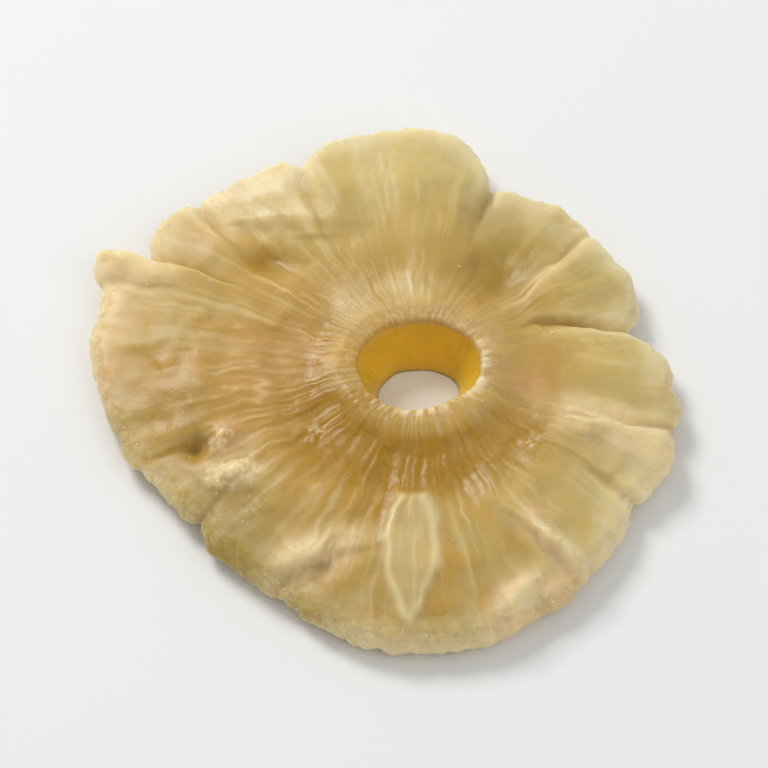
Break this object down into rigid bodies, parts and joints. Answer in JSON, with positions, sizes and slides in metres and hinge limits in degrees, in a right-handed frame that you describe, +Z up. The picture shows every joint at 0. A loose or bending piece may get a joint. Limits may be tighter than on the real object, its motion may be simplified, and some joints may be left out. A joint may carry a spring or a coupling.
{
  "type": "pineapple ring",
  "caption": "Dried, sugared pineapple ring lying flat: uneven lobed margin, creased fruitlets, raised collar round an open core hole; dressing for a plate, cake or bowl of fruit.",
  "frame": {"origin": "middle of the bounding box in plan, on the flat underside", "axes": "+Z up through the thickness; +X to the side of the deepest notch in the margin; +Y to the broad smooth lobe"},
  "size_m": [0.071, 0.0734, 0.0078],
  "materials": {
    "sugared_flesh": "translucent golden fruit flesh with a soft gloss, paler cream towards the margin, dusted with sugar"
  },
  "bodies": {
    "root": {"pineapple_ring": "sugared_flesh"}
  },
  "joints": []
}
